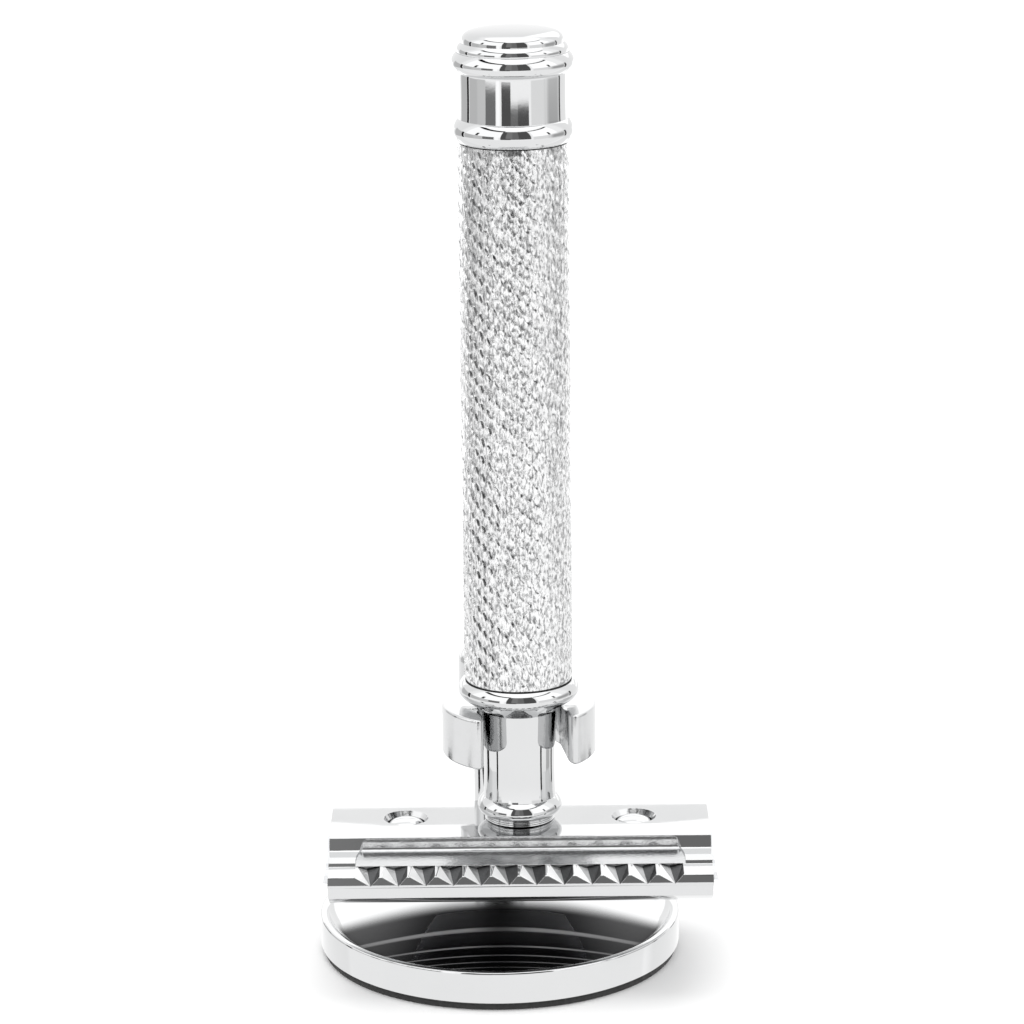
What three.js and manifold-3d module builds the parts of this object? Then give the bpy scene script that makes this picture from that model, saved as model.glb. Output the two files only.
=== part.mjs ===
import * as THREE from 'three';
import { mergeVertices } from 'three/addons/utils/BufferGeometryUtils.js';
import Module from 'manifold-3d';

// A three-piece double-edge safety razor, hanging head down in a round stand.
// Millimetres, +Z up. The origin is the centre of the base's underside.

// ---------------------------------------------------------------- driving dimensions

// Base: a pad, a weight and a dished shell over them.
const baseRadius = 20;
const rimTop = 4.4;
const rimProfile = [[18.6, 3.75, 19.1, 4.28], [19.35, 4.4], [19.78, 4.4], [20, 4.4, 20, 4.15]];
const padRadius = 19.6;
const padTop = 0.6;
const dishRadius = 17.8;
const dishEdge = 3.5; // height of the dish at dishRadius
const dishFloor = 2.4; // height of the dish on the base's axis
const hollowRadius = 18.1;
const hollowTop = 1.7;
const edgeRound = 0.4;
const weightGap = 0.1; // between the weight and the hollow's wall
const postHollow = 0.3; // the spotface's width beyond the post

// Post, behind the middle of the base, with a screw from below and a spigot on top.
const postY = 11.4;
const postRadius = 2.8;
const postSeat = 2.7;
const postShoulder = 24.3;
const spigotRadius = 2.2;
const spigotTop = 29.2;
const postBoreRadius = 1.65;
const postBoreTop = 11;
const screwRadius = 1.5;
const screwTop = 9.5;
const screwHeadRadius = 2.8;
const screwHeadBottom = 0.65;
const screwSlot = { length: 6, width: 0.8, depth: 0.35 };
const washerRadius = 3.5;
const washerThickness = 0.3;

// Fork: a boss on the post, a web and a ring that is open in front.
const reach = 16.5; // post axis to ring centre
const forkTurn = THREE.MathUtils.degToRad(8.2);
const forkBottom = 24.6;
const forkTop = 30.2;
const forkRound = 0.3;
const ringRadius = 8.4;
const slotHalf = 4.6;
const mouthAngle = THREE.MathUtils.degToRad(38);
const flareDepth = 1.1;
const seatRadius = 6.5; // wide end of the cone that the collar hangs in
const seatDepth = 0.7;
const webHalf = 4;
const bossRadius = 4.4;
const bossTop = 31.2;
const bossRound = { width: 1.4, height: 1.2 };
const bossBoreRadius = 2.35;
const grubRadius = 1.45;
const grubBoreRadius = 1.6;
const grubRecess = 0.25; // depth of the screw's face below the boss
const grubSocket = { radius: 0.75, depth: 0.8 };

// Handle, all turned about one axis.
const gripRadius = 5.92;
const gripBottom = 33;
const gripTop = 91.85;
const gripBoreRadius = 4.5;
const tenonRadius = 4.35;
const lowerTenonTop = 40;
const upperTenonBottom = 84;
const shimRadius = 5.72;
const shimThickness = 0.26;
const shimGap = 0.02;
const skirtRadius = 5.76; // the thin skirts that the two shims sit in
const skirtGap = 0.15; // between each skirt and the grip
const neckBoreRadius = 3.1;
const footBottom = 16.84;
const insertBottom = 19;
const insertTop = 27;
const insertBoreRadius = 2.52;
const rodChamfer = { width: 0.45, height: 0.5 };

// Outlines as lists of steps: two numbers run straight to a point, four bend there by way of
// the first two. Turned parts give radius and height.
const neckProfile = [
  [3.66, footBottom],
  [3.95, 16.95, 3.7, 17.07], // two fine beads
  [3.98, 17.19, 3.7, 17.31],
  [3.7, 17.4],
  [3.88, 17.45],
  [5.3, 18.25, 4, 19.5], // foot bead
  [3.94, 19.55],
  [3.75, 24, 4.1, 29.45], // neck
  [6.2, 31], // cone
  [7, 31.95, 6, gripBottom - skirtGap], // collar
];
const knobProfile = [
  [5.9, gripTop + skirtGap],
  [7.15, 93.1, 5.93, 94.4], // lower bead
  [5.82, 94.45],
  [5.82, 99.33], // band
  [7.25, 100.15, 6, 101.45], // upper bead
  [5.92, 101.44],
  [6.07, 101.95, 5.47, 102.43], // small bead
  [5.43, 102.43],
  [5.48, 103.1, 4.9, 103.45], // shoulder
  [4.02, 103.98, 0, 103.98], // dome
];

// Head: plate above, blade, cap below. Widths run along X, depths along Y.
const headHalf = 20.75;
const plateauTop = 16.8;
const plateauHalf = 2.8; // its flat middle, as deep each way as this
const flankProfile = [
  [6, 16.66],
  [6.55, 15.5],
  [6.62, 15.35, 6.8, 15.32],
  [9.22, 14.96],
  [9.42, 14.56], // step down to the comb
  [11.88, 14.4],
  [12.06, 14.38, 12.13, 14.2],
  [12.38, 13.55], // front of the comb
  [12.4, 13.1, 12, 13.1],
];
const bedHalf = 11.1; // reach of the hollow that the blade lies in
const bendCentre = 41.1; // height of the axis that the blade is bent round
const bendRadius = 30; // to the middle of the blade's thickness
const bladeThickness = 0.1;
const bladeGap = 0.12; // clearance on each side of the blade
const bladeLength = 43;
const bladeWidth = 22;
const bladeCuts = { middle: 2.9, pins: 2.25, slotLength: 33, slotWidth: 1.6 };
const bladeCorner = { x: 21.2, y: 10.5, length: 5, width: 6 }; // cut away at each corner
const capHalf = 10.9;
const capLip = { width: 0.35, fall: 0.03 };
const capEndRound = 1;
const capApex = 8.3;
const capSideBottom = 11.5;
const pinSpread = 12.5;
const pinRadius = 1.9;
const pinTop = 16.78;
const pinDome = 0.75;
const pinHoleRadius = 2.05;
const pinHoleChamfer = { width: 0.4, height: 0.55 };
const studRadius = 2.42;
const studTop = 25;
const studHoleRadius = 2.75;
const socketBottom = 9.4; // floor of the cap's blind holes
const socketGap = 0.1; // round the stud and the pins
const studChamfer = 0.3;

// Pockets and comb notches in the plate's two flanks.
const pocketHalf = 17.8;
const pocketInner = 5.98;
const pocketOuter = 9.6;
const pocketRound = 1.4;
const pocketStart = [6.02, 17];
const pocketProfile = [
  [6.03, 16.48],
  [6.2, 16.22],
  [6.21, 15.6],
  [6.25, 15.25, 6.75, 15.16],
  [9.5, 14.62],
  [9.7, 17],
];
const notchCount = 12;
const notchPitch = 2.97;
const notchLean = 0.5; // sideways run of each valley towards the front
const notchRear = { y: 9.2, valley: 14.3, top: 14.6, left: 1.05, right: 1.45 };
const notchFront = { y: 12.5, valley: 13.4, top: 14.45, left: 2.1, right: 1.05 };

// Fineness of the round surfaces.
const turnSteps = 36;
const smallSteps = 16;
const curveSteps = 3;
const bendSteps = 10;
const forkSteps = 14;
const mergeDistance = 1e-4;
const through = { bottom: 5, top: 20 }; // upright cuts through the head reach past it

// ---------------------------------------------------------------- solids

const wasm = await Module();
wasm.setup();

// A closed geometry as a solid with its faces pointing out.
function solidOf(geometry) {
  geometry.deleteAttribute('normal');
  geometry.deleteAttribute('uv');
  const welded = mergeVertices(geometry, mergeDistance);
  const vertProperties = welded.attributes.position.array;
  const corners = welded.index.array;
  const outward = [];
  const inward = [];
  for (let i = 0; i < corners.length; i += 3) {
    const [a, b, c] = [corners[i], corners[i + 1], corners[i + 2]];
    if (a !== b && b !== c && c !== a) {
      outward.push(a, b, c);
      inward.push(a, c, b);
    }
  }
  const make = (list) => {
    const triVerts = new Uint32Array(list);
    return new wasm.Manifold(new wasm.Mesh({ numProp: 3, vertProperties, triVerts }));
  };
  const solid = make(outward);
  return solid.volume() > 0 ? solid : make(inward);
}

function geometryOf(solid) {
  const { vertProperties, triVerts } = solid.getMesh();
  const geometry = new THREE.BufferGeometry();
  geometry.setAttribute('position', new THREE.BufferAttribute(vertProperties, 3));
  geometry.setIndex(new THREE.BufferAttribute(triVerts, 1));
  geometry.computeVertexNormals();
  return geometry;
}

// Draws the steps of an outline on a path or a shape.
function draw(path, steps) {
  for (const step of steps) {
    if (step.length === 2) {
      path.lineTo(...step);
    } else {
      path.quadraticCurveTo(...step);
    }
  }
  return path;
}

// The same steps on the other side of the middle, from their end back to their start.
function mirrored(start, steps) {
  const flip = ([y, z]) => [-y, z];
  const points = [start, ...steps.map((step) => step.slice(-2))];
  const back = steps.map((step, i) => {
    const bend = step.length === 4 ? flip(step) : [];
    return [...bend, ...flip(points[i])];
  });
  return back.reverse();
}

// A profile of radius and height, turned about Z.
function turned(path, steps = turnSteps) {
  const geometry = new THREE.LatheGeometry(path.getPoints(curveSteps), steps);
  return solidOf(geometry.rotateX(Math.PI / 2));
}

// A straight round bar from one height to another.
function bar(radius, bottom, top, x = 0, y = 0, steps = smallSteps) {
  const geometry = new THREE.CylinderGeometry(radius, radius, top - bottom, steps);
  return solidOf(geometry.rotateX(Math.PI / 2).translate(x, y, (bottom + top) / 2));
}

// A tube from one height to another.
function tube(outer, inner, bottom, top, steps = turnSteps) {
  const path = new THREE.Path()
    .moveTo(inner, bottom)
    .lineTo(outer, bottom)
    .lineTo(outer, top)
    .lineTo(inner, top)
    .lineTo(inner, bottom);
  return turned(path, steps);
}

// A cross-section drawn in Y and Z, run along X to both sides of the middle.
function alongX(shape, half, divisions = curveSteps) {
  const geometry = new THREE.ExtrudeGeometry(shape, {
    depth: 2 * half,
    bevelEnabled: false,
    curveSegments: divisions,
  });
  const turn = new THREE.Matrix4().makeBasis(
    new THREE.Vector3(0, 1, 0),
    new THREE.Vector3(0, 0, 1),
    new THREE.Vector3(1, 0, 0),
  );
  return solidOf(geometry.applyMatrix4(turn).translate(-half, 0, 0));
}

// An outline drawn in X and Y, run up Z.
function upright(shape, bottom, top, divisions = curveSteps, round = 0) {
  const geometry = new THREE.ExtrudeGeometry(shape, {
    depth: top - bottom - 2 * round,
    bevelEnabled: round > 0,
    bevelThickness: round,
    bevelSize: round,
    bevelOffset: -round,
    bevelSegments: 2,
    curveSegments: divisions,
  });
  return solidOf(geometry.translate(0, 0, bottom + round));
}

// Height of a surface bent round the blade's axis, at a distance from the middle.
function bendHeight(radius, y) {
  return bendCentre - Math.sqrt(radius * radius - y * y);
}

// Adds the bent surface to a shape, from one Y to another.
function bendTo(shape, radius, fromY, toY) {
  const start = Math.atan2(bendHeight(radius, fromY) - bendCentre, fromY);
  const end = Math.atan2(bendHeight(radius, toY) - bendCentre, toY);
  shape.absarc(0, bendCentre, radius, start, end, end < start);
}

// ---------------------------------------------------------------- stand

function baseDish() {
  const path = new THREE.Path()
    .moveTo(0, dishFloor)
    .quadraticCurveTo(dishRadius / 2, dishFloor, dishRadius, dishEdge);
  draw(path, rimProfile)
    .lineTo(baseRadius, padTop + edgeRound)
    .lineTo(baseRadius - edgeRound, padTop)
    .lineTo(hollowRadius, padTop)
    .lineTo(hollowRadius, hollowTop)
    .lineTo(0, hollowTop);
  const spotface = bar(postRadius + postHollow, postSeat, rimTop, 0, postY, turnSteps);
  const screwHole = bar(postBoreRadius, 0, rimTop, 0, postY);
  return turned(path).subtract(spotface).subtract(screwHole);
}

function baseWeight() {
  const plate = turned(
    new THREE.Path()
      .moveTo(0, padTop)
      .lineTo(hollowRadius - weightGap, padTop)
      .lineTo(hollowRadius - weightGap, hollowTop - weightGap / 2)
      .lineTo(0, hollowTop - weightGap / 2),
  );
  return plate.subtract(bar(washerRadius + 0.5, 0, rimTop, 0, postY, turnSteps));
}

function basePad() {
  return turned(
    new THREE.Path()
      .moveTo(0, 0)
      .lineTo(padRadius - 0.1, 0)
      .lineTo(padRadius, 0.1)
      .lineTo(padRadius, padTop)
      .lineTo(0, padTop),
  );
}

function post() {
  return turned(
    new THREE.Path()
      .moveTo(0, postBoreTop)
      .lineTo(postBoreRadius, postBoreTop)
      .lineTo(postBoreRadius, postSeat)
      .lineTo(postRadius - 0.2, postSeat)
      .lineTo(postRadius, postSeat + 0.2)
      .lineTo(postRadius, postShoulder)
      .lineTo(spigotRadius, postShoulder)
      .lineTo(spigotRadius, spigotTop)
      .lineTo(0, spigotTop),
  );
}

function postScrew() {
  const headTop = hollowTop - washerThickness;
  const screw = turned(
    new THREE.Path()
      .moveTo(0, screwHeadBottom)
      .lineTo(screwHeadRadius - 0.2, screwHeadBottom)
      .lineTo(screwHeadRadius, screwHeadBottom + 0.2)
      .lineTo(screwHeadRadius, headTop)
      .lineTo(screwRadius, headTop)
      .lineTo(screwRadius, screwTop)
      .lineTo(0, screwTop),
    smallSteps,
  );
  const { length, width, depth } = screwSlot;
  const slot = solidOf(
    new THREE.BoxGeometry(length, width, 2 * depth).translate(0, 0, screwHeadBottom),
  );
  return screw.subtract(slot);
}

function postWasher() {
  return tube(washerRadius, postBoreRadius, hollowTop - washerThickness, hollowTop, smallSteps);
}

// The fork is drawn with its boss on the origin and its mouth towards -Y.
function fork() {
  const cornerX = ringRadius * Math.sin(mouthAngle);
  const cornerY = -reach - ringRadius * Math.cos(mouthAngle);
  const outline = new THREE.Shape()
    .moveTo(slotHalf, -reach)
    .lineTo(slotHalf, cornerY + flareDepth)
    .lineTo(cornerX, cornerY)
    .absarc(0, -reach, ringRadius, mouthAngle - Math.PI / 2, 1.5 * Math.PI - mouthAngle, false)
    .lineTo(-slotHalf, cornerY + flareDepth)
    .lineTo(-slotHalf, -reach)
    .absarc(0, -reach, slotHalf, Math.PI, 0, true);
  const ring = upright(outline, forkBottom, forkTop, forkSteps, forkRound);
  const webStart = -reach + seatRadius + 0.5;
  const webOutline = new THREE.Shape()
    .moveTo(-webHalf, webStart)
    .lineTo(webHalf, webStart)
    .lineTo(webHalf, 0)
    .lineTo(-webHalf, 0);
  const web = upright(webOutline, forkBottom, forkTop, 1, forkRound);
  const boss = turned(
    new THREE.Path()
      .moveTo(0, forkBottom)
      .lineTo(bossRadius - forkRound, forkBottom)
      .lineTo(bossRadius, forkBottom + forkRound)
      .lineTo(bossRadius, bossTop - bossRound.height)
      .quadraticCurveTo(bossRadius, bossTop, bossRadius - bossRound.width, bossTop)
      .lineTo(0, bossTop),
  );
  const seat = turned(
    new THREE.Path()
      .moveTo(0, forkTop - seatDepth)
      .lineTo(slotHalf, forkTop - seatDepth)
      .lineTo(seatRadius, forkTop)
      .lineTo(seatRadius, forkTop + 1)
      .lineTo(0, forkTop + 1),
  ).translate([0, -reach, 0]);
  const bossBore = bar(bossBoreRadius, forkBottom - 1, spigotTop + 0.3);
  const grubBore = grubBar(grubBoreRadius, 0, bossRadius + 1);
  return ring.add(web).add(boss).subtract(seat).subtract(bossBore).subtract(grubBore);
}

// A round bar along +Y, at mid height of the boss.
function grubBar(radius, start, end) {
  const geometry = new THREE.CylinderGeometry(radius, radius, end - start, smallSteps);
  return solidOf(geometry.translate(0, (start + end) / 2, (forkBottom + forkTop) / 2));
}

function forkGrubScrew() {
  const face = bossRadius - grubRecess;
  const { radius, depth } = grubSocket;
  const socket = new THREE.CylinderGeometry(radius, radius, 2 * depth, 6);
  const socketSolid = solidOf(socket.translate(0, face, (forkBottom + forkTop) / 2));
  return grubBar(grubRadius, bossBoreRadius + shimGap, face).subtract(socketSolid);
}

// ---------------------------------------------------------------- handle

function neckFerrule() {
  const collarTop = gripBottom - shimThickness - 2 * shimGap;
  const path = new THREE.Path()
    .moveTo(0, lowerTenonTop - 6)
    .lineTo(insertBoreRadius + 0.2, lowerTenonTop - 6)
    .lineTo(insertBoreRadius + 0.2, insertTop + 0.1)
    .lineTo(neckBoreRadius, insertTop + 0.1)
    .lineTo(neckBoreRadius, footBottom);
  return turned(
    draw(path, neckProfile)
      .lineTo(skirtRadius, gripBottom - skirtGap)
      .lineTo(skirtRadius, collarTop)
      .lineTo(tenonRadius, collarTop)
      .lineTo(tenonRadius, lowerTenonTop)
      .lineTo(0, lowerTenonTop),
  );
}

function endKnob() {
  const seat = gripTop + shimThickness + 2 * shimGap;
  const path = new THREE.Path()
    .moveTo(0, upperTenonBottom)
    .lineTo(tenonRadius, upperTenonBottom)
    .lineTo(tenonRadius, seat)
    .lineTo(skirtRadius, seat)
    .lineTo(skirtRadius, gripTop + skirtGap);
  return turned(draw(path, knobProfile));
}

function gripSleeve() {
  return tube(gripRadius, gripBoreRadius, gripBottom, gripTop);
}

function shim(bottom) {
  return tube(shimRadius, tenonRadius + 0.1, bottom, bottom + shimThickness);
}

function coreRod() {
  const bottom = lowerTenonTop + 0.3;
  const top = upperTenonBottom - 0.3;
  const { width, height } = rodChamfer;
  return turned(
    new THREE.Path()
      .moveTo(0, bottom)
      .lineTo(tenonRadius - width, bottom)
      .lineTo(tenonRadius, bottom + height)
      .lineTo(tenonRadius, top - height)
      .lineTo(tenonRadius - width, top)
      .lineTo(0, top),
    smallSteps,
  );
}

function threadInsert() {
  return tube(neckBoreRadius - 0.06, insertBoreRadius, insertBottom, insertTop, turnSteps);
}

// ---------------------------------------------------------------- head

function guardPlate() {
  const bedRadius = bendRadius - bladeThickness / 2 - bladeGap;
  const bedHeight = bendHeight(bedRadius, bedHalf);
  const start = [plateauHalf, plateauTop];
  const section = new THREE.Shape().moveTo(...start);
  draw(section, flankProfile).lineTo(bedHalf, bedHeight);
  bendTo(section, bedRadius, bedHalf, -bedHalf);
  section.lineTo(-flankProfile.at(-1).at(-2), flankProfile.at(-1).at(-1));
  draw(section, mirrored(start, flankProfile));
  let plate = alongX(section, headHalf);
  plate = plate.subtract(bar(studHoleRadius, through.bottom, through.top));
  for (const side of [-1, 1]) {
    const hole = pinHole().translate([side * pinSpread, 0, 0]);
    plate = plate.subtract(hole).subtract(pocket(side)).subtract(notches(side));
  }
  return plate;
}

// A round hole with a chamfered mouth at the top.
function pinHole() {
  const { width, height } = pinHoleChamfer;
  return turned(
    new THREE.Path()
      .moveTo(0, through.bottom)
      .lineTo(pinHoleRadius, through.bottom)
      .lineTo(pinHoleRadius, plateauTop - height)
      .lineTo(pinHoleRadius + width, plateauTop)
      .lineTo(pinHoleRadius + width, through.top)
      .lineTo(0, through.top),
  );
}

// A long shallow recess in one flank, rounded in plan at its ends.
function pocket(side) {
  const onSide = (step) => step.map((value, i) => (i % 2 === 0 ? side * value : value));
  const section = new THREE.Shape().moveTo(...onSide(pocketStart));
  draw(section, pocketProfile.map(onSide));
  const inner = side * pocketInner;
  const outer = side * pocketOuter;
  const bend = inner + side * 2 * pocketRound;
  const plan = new THREE.Shape()
    .moveTo(-pocketHalf + pocketRound, inner)
    .lineTo(pocketHalf - pocketRound, inner)
    .quadraticCurveTo(pocketHalf, inner, pocketHalf, bend)
    .lineTo(pocketHalf, outer)
    .lineTo(-pocketHalf, outer)
    .lineTo(-pocketHalf, bend)
    .quadraticCurveTo(-pocketHalf, inner, -pocketHalf + pocketRound, inner);
  const walls = upright(plan, through.bottom, through.top);
  return alongX(section, pocketHalf + 1).intersect(walls);
}

// A row of V-shaped comb notches through one guard bar.
function notches(side) {
  const first = -notchPitch * (notchCount - 1) / 2;
  const solids = [];
  for (let i = 0; i < notchCount; i += 1) {
    solids.push(notch(first + i * notchPitch, side));
  }
  return wasm.Manifold.union(solids);
}

// One uneven V wedge. Its valley falls towards the front and leans sideways as it goes, and
// one of its walls grows gentler on the way.
function notch(x, side) {
  const corners = [];
  for (const [end, shift] of [[notchRear, notchLean / 2], [notchFront, -notchLean / 2]]) {
    for (const [across, z] of [[0, end.valley], [end.left, end.top], [-end.right, end.top]]) {
      corners.push(x + side * (shift + across), side * end.y, z);
    }
  }
  const faces = [0, 2, 1, 3, 4, 5, 0, 1, 3, 1, 4, 3, 1, 2, 5, 1, 5, 4, 2, 0, 3, 2, 3, 5];
  const wedge = new THREE.BufferGeometry();
  wedge.setAttribute('position', new THREE.Float32BufferAttribute(corners, 3));
  wedge.setIndex(faces);
  return solidOf(wedge);
}

function blade() {
  const inner = bendRadius - bladeThickness / 2;
  const outer = bendRadius + bladeThickness / 2;
  const halfArc = bladeWidth / 2 / bendRadius;
  const up = 1.5 * Math.PI;
  const section = new THREE.Shape()
    .absarc(0, bendCentre, outer, up - halfArc, up + halfArc, false)
    .absarc(0, bendCentre, inner, up + halfArc, up - halfArc, true);
  const strip = alongX(section, bladeLength / 2, bendSteps);
  const tall = through.top - through.bottom;
  const middle = (through.top + through.bottom) / 2;
  const block = (length, width, x, y) =>
    solidOf(new THREE.BoxGeometry(length, width, tall).translate(x, y, middle));
  const cuts = [
    bar(bladeCuts.middle, through.bottom, through.top),
    block(bladeCuts.slotLength, bladeCuts.slotWidth, 0, 0),
  ];
  for (const x of [-1, 1]) {
    cuts.push(bar(bladeCuts.pins, through.bottom, through.top, x * pinSpread));
    for (const y of [-1, 1]) {
      const { length, width } = bladeCorner;
      cuts.push(block(length, width, x * bladeCorner.x, y * bladeCorner.y));
    }
  }
  return strip.subtract(wasm.Manifold.union(cuts));
}

function cap() {
  const hollow = bendRadius + bladeThickness / 2 + bladeGap;
  const lipHalf = capHalf - capLip.width;
  const lipTop = bendHeight(hollow, lipHalf);
  const rise = capSideBottom - capApex;
  const domeRadius = (capHalf * capHalf + rise * rise) / (2 * rise);
  const domeAngle = Math.asin(capHalf / domeRadius);
  const down = 1.5 * Math.PI;
  const section = new THREE.Shape()
    .moveTo(lipHalf, lipTop)
    .lineTo(capHalf, lipTop - capLip.fall)
    .lineTo(capHalf, capSideBottom)
    .absarc(0, capApex + domeRadius, domeRadius, down + domeAngle, down - domeAngle, true)
    .lineTo(-capHalf, lipTop - capLip.fall)
    .lineTo(-lipHalf, lipTop);
  bendTo(section, hollow, -lipHalf, lipHalf);
  const side = new THREE.Shape()
    .moveTo(-headHalf + capEndRound, 0)
    .lineTo(headHalf - capEndRound, 0)
    .quadraticCurveTo(headHalf, 0, headHalf, capEndRound)
    .lineTo(headHalf, through.top)
    .lineTo(-headHalf, through.top)
    .lineTo(-headHalf, capEndRound)
    .quadraticCurveTo(-headHalf, 0, -headHalf + capEndRound, 0);
  const ends = new THREE.ExtrudeGeometry(side, {
    depth: 2 * capHalf + 2,
    bevelEnabled: false,
    curveSegments: curveSteps,
  });
  const endSolid = solidOf(ends.rotateX(Math.PI / 2).translate(0, capHalf + 1, capApex));
  let solid = alongX(section, headHalf, bendSteps).intersect(endSolid);
  solid = solid.subtract(bar(studRadius + socketGap, socketBottom, through.top));
  for (const x of [-pinSpread, pinSpread]) {
    solid = solid.subtract(bar(pinRadius + socketGap, socketBottom, through.top, x));
  }
  return solid;
}

// A round bar standing in one of the cap's blind holes, with the given steps at its upper end.
function capBar(radius, tip) {
  const bottom = socketBottom + shimGap;
  const path = new THREE.Path().moveTo(0, bottom).lineTo(radius, bottom);
  return turned(draw(path, tip), smallSteps);
}

function capStud() {
  const shoulder = [studRadius, studTop - studChamfer];
  return capBar(studRadius, [shoulder, [studRadius - studChamfer, studTop], [0, studTop]]);
}

function guidePin() {
  const shoulder = [pinRadius, pinTop - pinDome];
  return capBar(pinRadius, [shoulder, [pinRadius, pinTop - 0.1, 0, pinTop]]);
}

// ---------------------------------------------------------------- assembly

const chrome = { color: 0xd9dadc, roughness: 0.08, metalness: 1 };
const castChrome = { color: 0xc8cacc, roughness: 0.25, metalness: 1 };
const steel = { color: 0xa9abae, roughness: 0.35, metalness: 1 };
const brass = { color: 0xb79a5a, roughness: 0.4, metalness: 1 };
const bladeSteel = { color: 0xb9bcc0, roughness: 0.2, metalness: 1 };
const rubber = { color: 0x161616, roughness: 0.8, metalness: 0 };

function addPiece(group, name, solid, finish) {
  const mesh = new THREE.Mesh(geometryOf(solid), new THREE.MeshStandardMaterial(finish));
  mesh.name = name;
  group.add(mesh);
  return mesh;
}

const object = new THREE.Group();

const stand = new THREE.Group();
object.add(stand);
addPiece(stand, 'base_dish', baseDish(), chrome);
addPiece(stand, 'base_weight', baseWeight(), steel);
addPiece(stand, 'base_pad', basePad(), rubber);

const mast = new THREE.Group();
mast.position.set(0, postY, 0);
stand.add(mast);
addPiece(mast, 'post', post(), chrome);
addPiece(mast, 'post_screw', postScrew(), steel);
addPiece(mast, 'post_washer', postWasher(), steel);

const arm = new THREE.Group();
arm.rotation.z = forkTurn;
mast.add(arm);
addPiece(arm, 'fork', fork(), castChrome);
addPiece(arm, 'fork_grub_screw', forkGrubScrew(), steel);

const razor = new THREE.Group();
razor.position.set(reach * Math.sin(forkTurn), postY - reach * Math.cos(forkTurn), 0);
object.add(razor);
addPiece(razor, 'end_knob', endKnob(), chrome);
addPiece(razor, 'upper_shim', shim(gripTop + shimGap), rubber);
addPiece(razor, 'grip_sleeve', gripSleeve(), chrome);
addPiece(razor, 'lower_shim', shim(gripBottom - shimGap - shimThickness), rubber);
addPiece(razor, 'neck_ferrule', neckFerrule(), chrome);
addPiece(razor, 'core_rod', coreRod(), steel);
addPiece(razor, 'thread_insert', threadInsert(), brass);
addPiece(razor, 'guard_plate', guardPlate(), castChrome);
addPiece(razor, 'blade', blade(), bladeSteel);
addPiece(razor, 'cap', cap(), chrome);
addPiece(razor, 'cap_stud', capStud(), steel);
addPiece(razor, 'guide_pin_left', guidePin(), chrome).position.x = -pinSpread;
addPiece(razor, 'guide_pin_right', guidePin(), chrome).position.x = pinSpread;

export default object;
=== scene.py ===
"""Looks of the safety razor in its stand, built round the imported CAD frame."""

import math

import bmesh
import bpy
from mathutils import Matrix, Vector, noise


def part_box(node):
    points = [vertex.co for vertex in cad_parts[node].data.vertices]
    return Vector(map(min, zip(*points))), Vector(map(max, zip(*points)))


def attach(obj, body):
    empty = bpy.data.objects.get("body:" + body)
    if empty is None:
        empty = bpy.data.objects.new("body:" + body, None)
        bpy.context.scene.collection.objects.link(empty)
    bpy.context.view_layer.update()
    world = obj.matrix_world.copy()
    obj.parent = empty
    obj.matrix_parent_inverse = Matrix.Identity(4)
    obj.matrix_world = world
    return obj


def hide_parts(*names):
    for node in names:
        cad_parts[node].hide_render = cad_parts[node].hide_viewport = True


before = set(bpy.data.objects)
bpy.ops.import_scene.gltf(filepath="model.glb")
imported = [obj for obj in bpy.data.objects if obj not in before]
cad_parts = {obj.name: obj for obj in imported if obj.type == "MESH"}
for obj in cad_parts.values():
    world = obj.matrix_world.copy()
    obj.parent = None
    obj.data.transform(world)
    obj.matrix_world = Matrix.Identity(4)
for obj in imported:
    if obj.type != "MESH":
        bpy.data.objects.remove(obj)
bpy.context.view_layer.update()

MM = 0.001

# ---------------------------------------------------------------- places, in millimetres

grip_low, grip_high = [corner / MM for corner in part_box("grip_sleeve")]
post_low, post_high = [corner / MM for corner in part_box("post")]
HANDLE = ((grip_low.x + grip_high.x) / 2, (grip_low.y + grip_high.y) / 2)
POST = (0.0, (post_low.y + post_high.y) / 2)
REACH = math.dist(HANDLE, POST)
FORK_TURN = math.atan2(HANDLE[0] - POST[0], POST[1] - HANDLE[1])

GRIP_BOTTOM = grip_low.z
GRIP_TOP = grip_high.z
GRIP_RADIUS = (grip_high.x - grip_low.x) / 2
GRIP_BORE = 4.5
BEND_CENTRE = 41.1  # height of the axis that the blade is bent round
BEND_RADIUS = 30.0
BLADE_ROOM = 0.17  # from the middle of the blade's thickness to the metal on each side
HEAD_HALF = 20.75
PIN_SPREAD = 12.5
PIN_RADIUS = 1.9
NOTCHES = 12
NOTCH_PITCH = 2.97
THROUGH = (5, 20)  # upright cuts through the head reach past it

# ---------------------------------------------------------------- mesh helpers


def path(*steps, fine=12):
    """Points of an outline: (x, y) runs straight there, (cx, cy, x, y) bends there."""
    points = []
    for step in steps:
        if len(step) == 2:
            points.append(Vector(step))
            continue
        start, control, end = points[-1], Vector(step[:2]), Vector(step[2:])
        for i in range(1, fine + 1):
            t = i / fine
            points.append((1 - t) ** 2 * start + 2 * t * (1 - t) * control + t * t * end)
    return points


def arc(centre, radius, start, end, steps):
    """Points on an arc, both ends included. Angles in degrees."""
    out = []
    for i in range(steps + 1):
        a = math.radians(start + (end - start) * i / steps)
        out.append(Vector((centre[0] + radius * math.cos(a), centre[1] + radius * math.sin(a))))
    return out


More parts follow.
